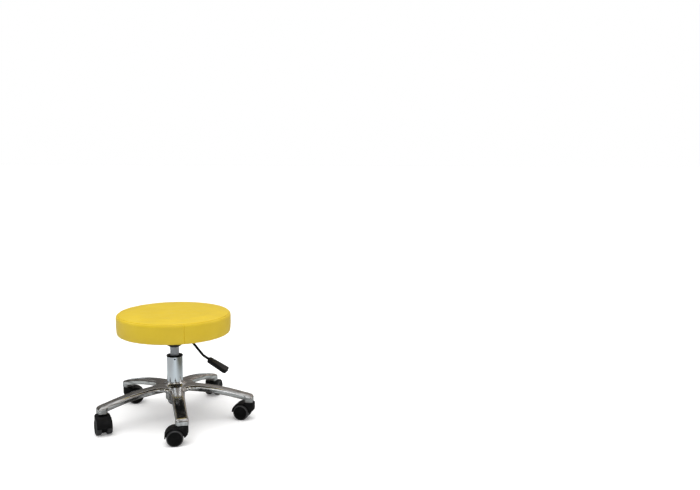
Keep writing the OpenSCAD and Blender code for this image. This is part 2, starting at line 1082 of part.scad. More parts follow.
star_base();
outer_tube();
tube_floor();
guide_bush();
lower_race();
caster_stems();
grip_rings();
piston_rod();
piston();
piston_ring();
piston_nut();
upper_race();
bearing_balls();
ball_cage();
bump_stop();
rod_washer();
rod_clip();
pressure_tube();
rod_guide();
rod_seal();
valve_body();
seat_socket();
seat_plate();
plate_bolts();
plate_washers();
lever_bracket();
lever_pin();
lever_pin_clip();
seat_board();
tee_nuts();
seat_foam();
seat_cover();
dust_cover();
cover_staples();
release_lever();
lever_handle();
release_pin();

for (i = [0:caster_count - 1]) {
  name = str("caster_", i + 1);
  at_caster(i) caster_hood();
  at_caster(i) caster_axle();
  at_caster(i) caster_wheel(1);
  at_caster(i) caster_wheel(-1);
}
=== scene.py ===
"""Pedicure stool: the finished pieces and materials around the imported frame."""
import json
import math

import bpy
import numpy as np
from mathutils import Matrix, Vector
from mathutils.bvhtree import BVHTree


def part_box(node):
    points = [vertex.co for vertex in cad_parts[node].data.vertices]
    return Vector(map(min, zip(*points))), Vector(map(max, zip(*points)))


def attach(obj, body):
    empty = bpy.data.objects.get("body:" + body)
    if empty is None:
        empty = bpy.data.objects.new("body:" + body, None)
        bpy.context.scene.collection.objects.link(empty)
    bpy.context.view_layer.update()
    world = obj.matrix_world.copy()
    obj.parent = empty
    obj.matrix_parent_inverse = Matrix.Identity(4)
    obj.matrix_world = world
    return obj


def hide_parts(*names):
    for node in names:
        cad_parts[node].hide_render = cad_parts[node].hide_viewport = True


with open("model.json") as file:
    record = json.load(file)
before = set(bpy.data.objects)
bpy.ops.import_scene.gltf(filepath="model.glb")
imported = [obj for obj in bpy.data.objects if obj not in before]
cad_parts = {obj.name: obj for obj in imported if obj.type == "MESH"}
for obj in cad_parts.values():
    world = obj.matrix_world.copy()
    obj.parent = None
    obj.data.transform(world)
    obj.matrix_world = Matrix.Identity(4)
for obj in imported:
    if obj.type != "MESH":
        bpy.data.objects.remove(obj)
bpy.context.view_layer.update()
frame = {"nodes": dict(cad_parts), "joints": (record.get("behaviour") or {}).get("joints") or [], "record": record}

MM = 0.001  # the frame is in metres, and the shapes below are worked out in millimetres


def node_box(node):
    """Lowest and highest corner of a CAD node, in millimetres."""
    low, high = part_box(node)
    return [v / MM for v in low], [v / MM for v in high]


def joint(name):
    return next(j for j in frame["joints"] if j["name"] == name)


# ---- sizes, from the frame ----

SEAT_LOW, SEAT_HIGH = (corner[2] for corner in node_box("seat_cover"))
SEAT_R = node_box("seat_cover")[1][0]
BOARD_LOW, BOARD_HIGH = (corner[2] for corner in node_box("seat_board"))
BOARD_R = node_box("seat_board")[1][0]
CLOTH_LOW, CLOTH_HIGH = (corner[2] for corner in node_box("dust_cover"))
CLOTH_R = node_box("dust_cover")[1][0]
PLATE_W = 2 * node_box("seat_plate")[1][0]
TUBE_LOW, TUBE_TOP = (corner[2] for corner in node_box("outer_tube"))
TUBE_R = node_box("outer_tube")[1][0]
GAS_LOW, GAS_TOP = (corner[2] for corner in node_box("pressure_tube"))
GAS_R = node_box("pressure_tube")[1][0]
SOCKET_LOW = node_box("seat_socket")[0][2]
BASE_LOW, HUB_TOP = (corner[2] for corner in node_box("star_base"))
HOOD_TOP = node_box("caster_1_hood")[1][2]
STEM_R = math.hypot(*joint("caster_1_swivel")["pos_m"][:2]) / MM
LEVER_PIVOT = joint("lever_tip")["pos_m"]
LEVER_TURN = math.atan2(LEVER_PIVOT[1], LEVER_PIVOT[0])
CASTERS = range(1, 6)

# Repeated from the CAD model, because the frame doesn't hold them
ARM_W, ARM_END_W, ARM_H, ARM_TOP = 41.0, 36.0, 18.0, 114.5
ARM_CURVE_R, ARM_CREST, TAPER_FROM, CROTCH_R, WEB_DEPTH = 720.0, 25.0, 90.0, 60.0, 13.0
BOSS_LEN, BOSS_W, HUB_SKIRT = 27.0, ARM_END_W + 2, BASE_LOW + 7.5
WHEEL_R, WHEEL_W, CASTER_W, TRAIL = 25.0, 16.5, 49.0, 21.0
HOOD_W, HOOD_REACH, HOOD_LOW = CASTER_W - 3, 20.0, 25.0
LEVER_R, LEVER_BEND_X, LEVER_BEND_R, LEVER_SLOPE = 4.0, 38.0, 14.0, math.radians(46.5)
LEVER_SLOPE_LEN, LEVER_BEND_2_R, LEVER_TAIL_LEN = 73.5, 30.0, 42.0
GRIP_SLOPE, GRIP_ROLL, GRIP_START = math.radians(26), math.radians(10), 14.5
GRIP_LEN, GRIP_W, GRIP_END_W, GRIP_T, GRIP_DROP = 72.0, 17.0, 27.0, 16.0, 2.0
FLAP_IN_R, STAPLES = BOARD_R - 28, 40
PEG_TURN = math.radians(-94)
TUBE_WALL, TUBE_FOOT_R = 1.6, 23.4  # the tube's foot tapers in where it stands in the base


# ---- camera, floor and light ----

def make_camera():
    spot = Vector((-0.1872, -2.5265, 0.8798))
    yaw, pitch_down, roll = -0.2968, 0.1242, 0.0117
    data = bpy.data.cameras.new("camera")
    data.sensor_width = 36.0
    data.lens = 40.52
    data.clip_start, data.clip_end = 0.05, 50.0
    cam = bpy.data.objects.new("camera", data)
    bpy.context.scene.collection.objects.link(cam)
    turn = (Matrix.Rotation(yaw, 4, "Z")
            @ Matrix.Rotation(math.pi / 2 - pitch_down, 4, "X")
            @ Matrix.Rotation(roll, 4, "Z"))
    cam.matrix_world = Matrix.Translation(spot) @ turn
    bpy.context.scene.camera = cam


def area_light(name, spot, aim, size, power, colour=(1, 1, 1)):
    data = bpy.data.lights.new(name, "AREA")
    data.shape = "RECTANGLE"
    data.size, data.size_y = size
    data.energy = power
    data.color = colour
    lamp = bpy.data.objects.new(name, data)
    bpy.context.scene.collection.objects.link(lamp)
    lamp.location = spot
    lamp.rotation_euler = (Vector(aim) - Vector(spot)).to_track_quat("-Z", "Y").to_euler()
    lamp.visible_camera = False


def make_lights():
    data = bpy.data.lights.new("soft_sun", "SUN")
    data.energy = 1.45
    data.angle = math.radians(55)
    sun = bpy.data.objects.new("soft_sun", data)
    bpy.context.scene.collection.objects.link(sun)
    sun.rotation_euler = (math.radians(12), math.radians(-8), 0)
    sun.visible_glossy = False
    area_light("front_box", (-0.5, -2.4, 1.1), (0, 0, 0.25), (0.9, 1.3), 5, (0.94, 0.97, 1.0))
    area_light("right_box", (2.1, -0.5, 1.2), (0, 0, 0.2), (0.5, 1.5), 5)
    area_light("left_box", (-2.2, 0.2, 1.3), (0, 0, 0.2), (0.6, 1.5), 5)


def make_studio():
    """White to the camera. The chrome sees a pale ceiling over walls that are darker to the left."""
    make_lights()
    world = bpy.data.worlds.new("studio")
    bpy.context.scene.world = world
    world.use_nodes = True
    tree = world.node_tree
    tree.nodes.clear()
    out = tree.nodes.new("ShaderNodeOutputWorld")
    back = tree.nodes.new("ShaderNodeBackground")
    coord = tree.nodes.new("ShaderNodeTexCoord")
    split = tree.nodes.new("ShaderNodeSeparateXYZ")
    rays = tree.nodes.new("ShaderNodeLightPath").outputs
    tree.links.new(coord.outputs["Generated"], split.inputs[0])

    def ramp(value, *stops):
        node = tree.nodes.new("ShaderNodeValToRGB")
        shades = node.color_ramp.elements
        for place, shade in stops[2:]:
            shades.new(place)
        for element, (place, shade) in zip(sorted(shades, key=lambda e: e.position), sorted(stops)):
            element.position = place
            element.color = (*shade, 1)
        tree.links.new(value, node.inputs["Fac"])
        return node.outputs["Color"]

    def mixed(factor, first, second):
        node = tree.nodes.new("ShaderNodeMixRGB")
        for socket, value in zip(node.inputs, (factor, first, second)):
            if isinstance(value, tuple):
                socket.default_value = (*value, 1)
            else:
                tree.links.new(value, socket)
        return node.outputs["Color"]

    left = ramp(split.outputs["Z"], (0.0, (0.08, 0.075, 0.07)), (1.0, (1.2, 1.2, 1.2)),
                (0.45, (0.16, 0.15, 0.14)), (0.72, (0.85, 0.86, 0.88)))
    right = ramp(split.outputs["Z"], (0.0, (0.36, 0.32, 0.29)), (1.0, (1.2, 1.2, 1.2)),
                 (0.45, (0.42, 0.38, 0.35)), (0.72, (0.85, 0.86, 0.88)))
    side = ramp(split.outputs["X"], (0.0, (0, 0, 0)), (0.5, (1, 1, 1)))
    walls = mixed(side, left, right)
    ceiling = ramp(split.outputs["Z"], (0.5, (1, 1, 1)), (0.8, (0.6, 0.6, 0.6)))
    dimmed = tree.nodes.new("ShaderNodeVectorMath")
    dimmed.operation = "MULTIPLY"
    tree.links.new(walls, dimmed.inputs[0])
    tree.links.new(ceiling, dimmed.inputs[1])
    walls = mixed(rays["Is Glossy Ray"], walls, dimmed.outputs[0])
    tree.links.new(mixed(rays["Is Camera Ray"], walls, (1, 1, 1)), back.inputs["Color"])
    tree.links.new(back.outputs[0], out.inputs[0])
    make_floor()
    bpy.context.scene.view_settings.view_transform = "Standard"


def make_floor():
    mesh = bpy.data.meshes.new("floor")
    half = 30.0
    corners = [(-half, -half, 0), (half, -half, 0), (half, half, 0), (-half, half, 0)]
    mesh.from_pydata(corners, [], [(0, 1, 2, 3)])
    floor = bpy.data.objects.new("floor", mesh)
    bpy.context.scene.collection.objects.link(floor)
    mesh.materials.append(floor_material())


# ---- materials ----

class Shader:
    """A principled material with short calls for the nodes behind it. Sizes are in metres."""

    def __init__(self, name, colour, roughness, metallic=0.0):
        self.material = bpy.data.materials.new(name)
        self.material.use_nodes = True
        self.tree = self.material.node_tree
        self.bsdf = self.tree.nodes["Principled BSDF"]
        self.bsdf.inputs["Base Color"].default_value = (*colour, 1)
        self.bsdf.inputs["Roughness"].default_value = roughness
        self.bsdf.inputs["Metallic"].default_value = metallic
        self.material.diffuse_color = (*colour, 1)
        self.place = self.tree.nodes.new("ShaderNodeTexCoord").outputs["Object"]

    def set(self, **values):
        for key, value in values.items():
            self.bsdf.inputs[key.replace("_", " ")].default_value = value

    def link(self, output, target):
        self.tree.links.new(output, target)

    def stretched(self, scale):
        node = self.tree.nodes.new("ShaderNodeMapping")
        node.inputs["Scale"].default_value = scale
        self.link(self.place, node.inputs["Vector"])
        return node.outputs[0]

    def upwards(self):
        """1 where the face looks up, and 0 where it is upright."""
        split = self.tree.nodes.new("ShaderNodeSeparateXYZ")
        self.link(self.tree.nodes.new("ShaderNodeTexCoord").outputs["Normal"], split.inputs[0])
        return split.outputs["Z"]

    def noise(self, size, detail=3.0, rough=0.55, place=None, distortion=0.0):
        node = self.tree.nodes.new("ShaderNodeTexNoise")
        node.inputs["Scale"].default_value = 1 / size
        node.inputs["Detail"].default_value = detail
        node.inputs["Roughness"].default_value = rough
        node.inputs["Distortion"].default_value = distortion
        self.link(place or self.place, node.inputs["Vector"])
        return node.outputs["Fac"]

    def cells(self, size):
        node = self.tree.nodes.new("ShaderNodeTexVoronoi")
        node.feature = "SMOOTH_F1"
        node.inputs["Scale"].default_value = 1 / size
        node.inputs["Smoothness"].default_value = 0.6
        self.link(self.place, node.inputs["Vector"])
        return node.outputs["Distance"]

    def spread(self, value, low, high, from_low=0.3, from_high=0.7):
        """value, where it runs from from_low to from_high, becomes low to high."""
        node = self.tree.nodes.new("ShaderNodeMapRange")
        node.inputs["From Min"].default_value = from_low
        node.inputs["From Max"].default_value = from_high
        node.inputs["To Min"].default_value = low
        node.inputs["To Max"].default_value = high
        self.link(value, node.inputs["Value"])
        return node.outputs[0]

    def maths(self, kind, a, b):
        node = self.tree.nodes.new("ShaderNodeMath")
        node.operation = kind
        for socket, value in zip(node.inputs, (a, b)):
            if isinstance(value, (int, float)):
                socket.default_value = value
            else:
                self.link(value, socket)
        return node.outputs[0]

    def vector_maths(self, kind, a, b=None):
        node = self.tree.nodes.new("ShaderNodeVectorMath")
        node.operation = kind
        self.link(a, node.inputs[0])
        if b is not None:
            self.link(b, node.inputs[1])
        return node.outputs[0]

    def mixed(self, factor, colour_a, colour_b):
        node = self.tree.nodes.new("ShaderNodeMix")
        node.data_type = "RGBA"
        for socket, value in ((node.inputs[6], colour_a), (node.inputs[7], colour_b)):
            if isinstance(value, tuple):
                socket.default_value = (*value, 1)
            else:
                self.link(value, socket)
        self.link(factor, node.inputs[0])
        return node.outputs[2]

    def bump(self, height, depth, strength=1.0, under=None):
        """height from 0 to 1 stands depth metres proud."""
        node = self.tree.nodes.new("ShaderNodeBump")
        node.inputs["Strength"].default_value = strength
        node.inputs["Distance"].default_value = depth
        self.link(height, node.inputs["Height"])
        if under is not None:
            self.link(under, node.inputs["Normal"])
        self.link(node.outputs[0], self.bsdf.inputs["Normal"])
        return node.outputs[0]

    def colour(self, output):
        self.link(output, self.bsdf.inputs["Base Color"])

    def roughness(self, output):
        self.link(output, self.bsdf.inputs["Roughness"])


def floor_material():
    """Pale matt paint, seen from the camera with a faint painted glow. Diffuse rays see it darker, as painted
    shade that cuts its bounce light. The chrome sees a dimmer floor, with painted reflection of darker
    surroundings to both sides and painted shadow under the stool.
    """
    s = Shader("floor_white", (0.96, 0.96, 0.96), 0.8)
    s.set(Specular_IOR_Level=0.0, Emission_Color=(1, 1, 1, 1))
    rays = s.tree.nodes.new("ShaderNodeLightPath").outputs
    split = s.tree.nodes.new("ShaderNodeSeparateXYZ")
    s.link(s.place, split.inputs[0])
    rightwards = s.spread(split.outputs["X"], 0, 1, 0.15, 0.9)
    leftwards = s.spread(split.outputs["X"], 1, 0, -0.8, -0.1)
    # Painted reflection: for glossy rays the floor is darker to the right and, less so, to the left.
    reflected_floor_shade = s.mixed(rightwards, (0.48, 0.52, 0.54), (0.12, 0.12, 0.10))
    reflected_floor_shade = s.mixed(leftwards, reflected_floor_shade, (0.34, 0.35, 0.35))
    reach = s.tree.nodes.new("ShaderNodeVectorMath")
    reach.operation = "LENGTH"
    s.link(s.place, reach.inputs[0])
    # Painted shadow: glossy rays see the floor darkest close under the stool, out to about half a metre.
    reflected_floor_shade = s.mixed(s.spread(reach.outputs["Value"], 0, 1, 0.08, 0.5), (0.12, 0.11, 0.10), reflected_floor_shade)
    # Painted shade: diffuse rays see the floor darker, so it throws back less light.
    floor_and_bounce_shade = s.mixed(rays["Is Diffuse Ray"], (0.96, 0.96, 0.96), (0.72, 0.72, 0.72))
    s.colour(s.mixed(rays["Is Glossy Ray"], floor_and_bounce_shade, reflected_floor_shade))
    # Painted glow: the camera sees the floor emit a little light, which lifts its shadows.
    s.link(s.maths("MULTIPLY", rays["Is Camera Ray"], 0.16), s.bsdf.inputs["Emission Strength"])
    return s.material


def vinyl_material():
    s = Shader("vinyl_yellow", (0.72, 0.50, 0.03), 0.42)
    patches = s.noise(0.09, 4.0)
    s.colour(s.mixed(s.spread(patches, 0, 1), (0.73, 0.515, 0.016), (0.79, 0.57, 0.024)))
    s.roughness(s.spread(s.noise(0.03, 5.0), 0.36, 0.5))
    grain = s.bump(s.cells(0.0016), 0.00012, 0.55)
    fine = s.bump(s.noise(0.0007, 2.0), 0.00005, 0.5, grain)
    s.bump(s.noise(0.02, 3.0), 0.0006, 0.25, fine)
    s.set(Specular_IOR_Level=0.45, Sheen_Weight=0.08, Sheen_Roughness=0.4)
    return s.material


def chrome_material():
    s = Shader("chrome_plate", (0.83, 0.86, 0.89), 0.06, 1.0)
    smudge = s.noise(0.035, 5.0)
    s.roughness(s.spread(smudge, 0.035, 0.11))
    s.bump(s.noise(0.02, 1.0), 0.00025, 0.15)
    return s.material


def polished_material():
    """Cast aluminium polished along its arms. Its tone is streaked outwards from the column: the dark and bright
    streaks are painted reflection, laid along the polishing.
    """
    s = Shader("polished_casting", (0.70, 0.69, 0.67), 0.16, 1.0)
    outwards = s.vector_maths("NORMALIZE", s.stretched((1, 1, 0)))
    flow = s.vector_maths("ADD", outwards, s.stretched((0, 0, 7)))
    reflection_streaks = s.spread(s.noise(0.05, 4.0, 0.6, flow), 0, 1, 0.36, 0.62)
    # Painted reflection: the streaks swap the casting's tone between dark and bright.
    s.colour(s.mixed(reflection_streaks, (0.37, 0.36, 0.35), (0.84, 0.83, 0.81)))
    s.roughness(s.spread(s.noise(0.012, 6.0, 0.65), 0.09, 0.24))
    wavy = s.bump(s.noise(0.014, 2.0), 0.0006, 0.22)
    s.bump(s.noise(0.0012, 3.0, 0.7), 0.00006, 0.35, wavy)
    return s.material


def nylon_material(name, colour, roughness, gloss=0.3, grain=0.0011, painted_top_light=None):
    """The last argument is a paler colour painted on faces that look up, as painted light falling on them from
    above.
    """
    s = Shader(name, colour, roughness)
    s.set(Specular_IOR_Level=gloss)
    worn = tuple(c * 1.8 + 0.002 for c in colour)
    tone = s.mixed(s.spread(s.noise(0.012, 5.0), 0, 1, 0.45, 0.8), colour, worn)
    if painted_top_light is not None:
        # Painted light: faces that look up take the paler colour.
        tone = s.mixed(s.spread(s.upwards(), 0, 1, 0.45, 0.8), tone, painted_top_light)
    s.colour(tone)
    s.roughness(s.spread(s.noise(0.006, 4.0), roughness - 0.08, roughness + 0.12))
    s.bump(s.cells(grain), 0.00006, 0.5)
    return s.material


def cloth_material():
    s = Shader("dust_cloth_black", (0.012, 0.012, 0.012), 0.9)
    s.set(Specular_IOR_Level=0.2, Sheen_Weight=0.2)
    fibres = s.noise(0.0008, 4.0, place=s.stretched((1.0, 0.35, 1.0)), distortion=1.0)
    s.colour(s.mixed(s.spread(fibres, 0, 1), (0.007, 0.007, 0.007), (0.02, 0.02, 0.02)))
    s.bump(s.cells(0.0012), 0.0001, 0.6, s.bump(fibres, 0.00008, 0.6))
    return s.material


def steel_material(name, colour, roughness):
    s = Shader(name, colour, roughness, 1.0)
    marks = s.noise(0.0015, 3.0)
    s.roughness(s.spread(marks, roughness * 0.7, roughness * 1.4))
    s.colour(s.mixed(s.spread(s.noise(0.01, 3.0), 0, 1), tuple(c * 0.88 for c in colour), colour))
    s.bump(marks, 0.00002, 0.4)
    return s.material


def paint_material(name, colour, roughness, gloss=0.35):
    s = Shader(name, colour, roughness)
    s.set(Specular_IOR_Level=gloss)
    s.colour(s.mixed(s.spread(s.noise(0.02, 4.0), 0, 1), tuple(c * 0.85 for c in colour), colour))
    s.roughness(s.spread(s.noise(0.008, 3.0), roughness - 0.06, roughness + 0.08))
    s.bump(s.noise(0.0022, 2.0), 0.00005, 0.5)
    return s.material


def plywood_material():
    s = Shader("plywood_board", (0.55, 0.38, 0.21), 0.6)
    grain = s.noise(0.012, 6.0, 0.6, s.stretched((0.08, 1.0, 1.0)), 1.2)
    s.colour(s.mixed(s.spread(grain, 0, 1), (0.42, 0.27, 0.14), (0.66, 0.48, 0.29)))
    s.roughness(s.spread(grain, 0.5, 0.75))
    s.bump(grain, 0.0003, 0.5)
    return s.material


def rubber_material():
    return nylon_material("rubber_black", (0.02, 0.02, 0.02), 0.7, 0.3, 0.0008)


# ---- mesh helpers ----

def add_object(name, mesh, material, body):
    piece = bpy.data.objects.new(name, mesh)
    bpy.context.scene.collection.objects.link(piece)
    mesh.materials.clear()
    mesh.materials.append(material)
    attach(piece, body)
    return piece


def mesh_from(name, points, faces):
    """A smooth mesh from points in millimetres."""
    mesh = bpy.data.meshes.new(name)
    mesh.from_pydata([tuple(p) for p in np.asarray(points) * MM], [], [tuple(f) for f in faces])
    mesh.update()
    mesh.shade_smooth()
    return mesh


def fillet(corners, steps=6):
    """Points along a line of (x, y, radius) corners, with each corner rounded to its radius."""
    out = []
    for i, (x, y, r) in enumerate(corners):
        here = np.array((x, y), float)
        if r == 0 or i in (0, len(corners) - 1):
            out.append(here)
            continue
        before = np.array(corners[i - 1][:2], float) - here
        after = np.array(corners[i + 1][:2], float) - here
        before /= np.linalg.norm(before)
        after /= np.linalg.norm(after)
        half = math.acos(np.clip(before @ after, -1, 1)) / 2
        middle = (before + after) / np.linalg.norm(before + after)
        centre = here + middle * r / math.sin(half)
        start = here + before * r / math.tan(half) - centre
        end = here + after * r / math.tan(half) - centre
        sweep = math.acos(np.clip(start @ end / r ** 2, -1, 1))
        for k in range(steps + 1):
            t = k / steps
            spoke = math.sin((1 - t) * sweep) * start + math.sin(t * sweep) * end
            out.append(centre + spoke / math.sin(sweep))
    return np.array(out)


def grid_mesh(name, rings, closed=False):
    """A skin over rings of points, shaped (rings, points, 3), in millimetres.

    A ring whose points coincide becomes one point. A closed skin joins its last ring to its first.
    """
    count = rings.shape[1]
    points = []
    rows = []
    for ring in rings:
        if np.ptp(ring, axis=0).max() < 1e-6:
            rows.append([len(points)] * count)
            points.append(ring[0])
        else:
            rows.append(list(range(len(points), len(points) + count)))
            points.extend(ring)
    if closed:
        rows.append(rows[0])
    faces = []
    for near, far in zip(rows, rows[1:]):
        for i in range(count):
            j = (i + 1) % count
            face = [near[i], near[j], far[j], far[i]]
            face = [v for k, v in enumerate(face) if v != face[k - 1]]
            if len(face) > 2:
                faces.append(face)
    return mesh_from(name, points, faces)


def turned(profile, angles):
    """Rings of (radius, height) points turned about +Z to the given angles."""
    r, z = np.asarray(profile, float).T
    flat = np.ones_like(angles)
    return np.stack([np.outer(r, np.cos(angles)), np.outer(r, np.sin(angles)), np.outer(z, flat)], 2)


def lathe(name, profile, steps=144, closed=False):
    return grid_mesh(name, turned(profile, np.arange(steps) * 2 * math.pi / steps), closed)


def smooth_min(a, b, k):
    """The nearer of two shapes, blended over a width of about k where they meet."""
    h = np.clip(0.5 + 0.5 * (b - a) / k, 0, 1)
    return b * (1 - h) + a * h - k * h * (1 - h)


def rounded_max(a, b, r):
    """The meeting of two half spaces, with the corner between them rounded to radius r."""
    corner = np.hypot(np.maximum(a + r, 0), np.maximum(b + r, 0))
    return np.minimum(np.maximum(a + r, b + r), 0) + corner - r


def iso_mesh(name, field, low, high, cell, rounds=2):
    """Mesh of the surface where field(x, y, z) is 0, all in millimetres. The field is negative inside."""
    axes = [np.arange(a - 2 * cell, b + 3 * cell, cell) for a, b in zip(low, high)]
    value = field(*np.meshgrid(*axes, indexing="ij"))
    inside = value < 0
    stride = np.array([value.shape[1] * value.shape[2], value.shape[2], 1])
    flat = value.ravel()
    spots = []
    squares = []
    for a in range(3):
        b, c = (a + 1) % 3, (a + 2) % 3
        first = tuple(slice(0, -1) if d == a else slice(None) for d in range(3))
        second = tuple(slice(1, None) if d == a else slice(None) for d in range(3))
        crossing = np.argwhere(inside[first] != inside[second])
        start = crossing @ stride
        f0, f1 = flat[start], flat[start + stride[a]]
        spot = np.stack([axes[d][crossing[:, d]] for d in range(3)], 1)
        spot[:, a] += cell * f0 / (f0 - f1)
        around = np.stack([start, start - stride[b], start - stride[b] - stride[c], start - stride[c]], 1)
        around[f0 >= 0] = around[f0 >= 0][:, ::-1]
        spots.append(np.repeat(spot, 4, axis=0))
        squares.append(around)
    faces = np.concatenate(squares)
    spots = np.concatenate(spots)
    _, index = np.unique(faces.ravel(), return_inverse=True)
    count = np.bincount(index)
    points = np.stack([np.bincount(index, spots[:, d]) for d in range(3)], 1) / count[:, None]
    faces = index.reshape(-1, 4)
    points = on_surface(field, points, cell)
    for _ in range(rounds):
        points = on_surface(field, relaxed(points, faces), cell)
    return mesh_from(name, points, faces)


def on_surface(field, points, cell):
    """Moves points along the field's slope to where it is 0."""
    h = cell * 0.05
    for _ in range(3):
        value = field(*points.T)
        slope = np.stack([field(*(points + h * step).T) - field(*(points - h * step).T)
                          for step in np.eye(3)], 1) / (2 * h)
        size = np.maximum((slope ** 2).sum(1), 0.05)
        move = -value[:, None] * slope / size[:, None]
        length = np.linalg.norm(move, axis=1, keepdims=True)
        points = points + move * np.minimum(1, 0.5 * cell / np.maximum(length, 1e-9))
    return points


def relaxed(points, faces):
    """Each point moves halfway to the middle of its neighbours."""
    total = np.zeros_like(points)
    count = np.zeros(len(points))
    for a, b in ((0, 1), (1, 2), (2, 3), (3, 0)):
        for p, q in ((faces[:, a], faces[:, b]), (faces[:, b], faces[:, a])):
            for d in range(3):
                total[:, d] += np.bincount(p, points[q, d], len(points))
            count += np.bincount(p, minlength=len(points))
    return 0.5 * points + 0.5 * total / count[:, None]


# ---- star base ----

END_CORNER_R, ARM_EDGE_R, ARM_LOW_EDGE_R = 7.0, 5.5, 2.5
CROWN_DROP, CROWN_REACH = 1.8, 12.0  # how far, and over what width, the arms' top rolls off to its sides
CHANNEL_START, CHANNEL_END_GAP, CHANNEL_WALL, CHANNEL_ROOF = CROTCH_R + 1, 2.0, 3.5, 6.0
HUB_R, HUB_DROP, COLLAR_WALL, COLLAR_LOW = 30.0, 5.0, 3.0, 100.0


def arm_outline(x, y):
    """Distance to the outline, seen from above, of an arm along +X. It is negative inside."""
    end = STEM_R + BOSS_LEN / 2
    along = np.clip((x - TAPER_FROM) / (end - TAPER_FROM), 0, 1)
    half = (ARM_W + (ARM_END_W - ARM_W) * along) / 2
    return rounded_max(np.abs(y) - half, x - end, END_CORNER_R)


def under_top(x, z, outline):
    """Distance to the arms' curved top: plain, and rolled off a little towards the outline."""
    above = np.hypot(x - ARM_CREST, z - (ARM_TOP - ARM_CURVE_R)) - ARM_CURVE_R
    return above, above + CROWN_DROP * np.clip(1 + outline / CROWN_REACH, 0, 1) ** 2


def boss_field(x, y, z):
    """The block at an arm's end that a caster's stem stands in."""
    outline = rounded_max(np.abs(y) - BOSS_W / 2, np.abs(x - STEM_R) - BOSS_LEN / 2, END_CORNER_R)
    boss = rounded_max(outline, under_top(x, z, outline)[1], ARM_EDGE_R)
    return rounded_max(boss, BASE_LOW - z, 1.6)


def hub_field(r, z):
    body = rounded_max(r - HUB_R, rounded_max(z - (HUB_TOP - HUB_DROP), HUB_SKIRT - z, 2.0), 3.0)
    collar = rounded_max(r - (TUBE_R + COLLAR_WALL), rounded_max(z - HUB_TOP, COLLAR_LOW - z, 1.2), 1.2)
    return smooth_min(body, collar, 4.0)


def star_field(x, y, z):
    """The whole casting. Every point is turned into the sector of the arm along +X."""
    r = np.hypot(x, y)
    step = 2 * math.pi / 5
    turn = (np.arctan2(y, x) + math.pi / 2 + step / 2) % step - step / 2
    x, y = r * np.cos(turn), r * np.sin(turn)
    arms = arm_outline(x, y)
    webbed = arms
    crotch = 4 * (CROTCH_R * math.sin(step / 2) - ARM_W / 2)
    for other in (-step, step):
        near = arm_outline(r * np.cos(turn + other), r * np.sin(turn + other))
        arms = smooth_min(arms, near, 8.0)
        webbed = smooth_min(webbed, near, crotch)
    above, crown = under_top(x, z, webbed)
    whole = rounded_max(rounded_max(arms, crown, ARM_EDGE_R), -ARM_H - above, ARM_LOW_EDGE_R)
    run = rounded_max(CHANNEL_START - x, x - (STEM_R - BOSS_LEN / 2 - CHANNEL_END_GAP), 2.0)
    channel = rounded_max(np.abs(y) - (ARM_END_W / 2 - CHANNEL_WALL), above + ARM_H - CHANNEL_ROOF, 2.0)
    whole = rounded_max(whole, -rounded_max(channel, run, 2.0), 1.5)
    web = rounded_max(rounded_max(webbed, crown, ARM_EDGE_R), -WEB_DEPTH - above, ARM_LOW_EDGE_R)
    whole = smooth_min(np.minimum(whole, web), boss_field(x, y, z), 2.5)
    whole = smooth_min(whole, hub_field(r, z), 9.0)
    up = np.clip((z - HUB_SKIRT) / (HUB_TOP - HUB_SKIRT), 0, 1)
    bore_r = TUBE_FOOT_R + (TUBE_R + 0.1 - TUBE_FOOT_R) * up
    return rounded_max(whole, bore_r - r, 1.2)


def make_star_base():
    cell = 1.5
    reach = 262.0
    low, high = (-reach, -reach, BASE_LOW), (reach, reach, HUB_TOP)
    mesh = iso_mesh("star_casting", star_field, low, high, cell)
    piece = add_object("star_casting", mesh, polished_material(), "base")
    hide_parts("star_base")


# ---- column ----

def make_outer_tube():
    end_r, lip_t, hole_r = 19.0, 4.0, 17.5
    inside_r = TUBE_R - TUBE_WALL
    section = [(end_r, TUBE_LOW, 0), (TUBE_FOOT_R, TUBE_LOW + 6, 3), (TUBE_FOOT_R, HUB_SKIRT, 4),
               (TUBE_R, HUB_TOP, 6), (TUBE_R, TUBE_TOP, 0.7), (inside_r, TUBE_TOP, 0.5),
               (inside_r, HUB_TOP, 0), (TUBE_FOOT_R - TUBE_WALL, TUBE_LOW + lip_t, 0),
               (hole_r, TUBE_LOW + lip_t, 0), (hole_r, TUBE_LOW, 0)]
    tube = lathe("chrome_tube", fillet(section), 192, closed=True)
    piece = add_object("chrome_tube", tube, chrome_material(), "base")
    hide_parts("outer_tube")


def make_bush():
    low, high = (corner[2] for corner in node_box("guide_bush"))
    bore_r, body_r, rim = GAS_R + 0.05, TUBE_R - TUBE_WALL, TUBE_R + 1
    section = [(bore_r, low, 0), (body_r, low, 0), (body_r, TUBE_TOP, 0), (rim, TUBE_TOP, 0.5),
               (rim, high - 0.4, 1.4), (rim - 3, high, 2.0), (GAS_R + 1.6, high, 0.6),
               (bore_r, high - 1.5, 0)]
    bush = lathe("column_bush", fillet(section), 144, closed=True)
    nylon = nylon_material("bush_nylon", (0.003, 0.0033, 0.0034), 0.4, 0.05)
    piece = add_object("column_bush", bush, nylon, "base")
    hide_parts("guide_bush")


def make_peg():
    """The end of the bush's peg, seen in its hole near the top of the tube."""
    peg_r, peg_in, peg_out, below_top = 2.5, -1.4, 0.2, 6.0
    section = [(0, peg_in, 0), (peg_r, peg_in, 0), (peg_r, peg_out, 0.4), (0, peg_out, 0)]
    peg = lathe("bush_peg", fillet(section, 3), 32)
    peg.transform(Matrix.Rotation(PEG_TURN, 4, "Z")
                  @ Matrix.Translation((TUBE_R * MM, 0, (TUBE_TOP - below_top) * MM))
                  @ Matrix.Rotation(math.pi / 2, 4, "Y"))
    dull = nylon_material("peg_nylon", (0.002, 0.002, 0.002), 0.7, 0.02)
    add_object("bush_peg", peg, dull, "base")


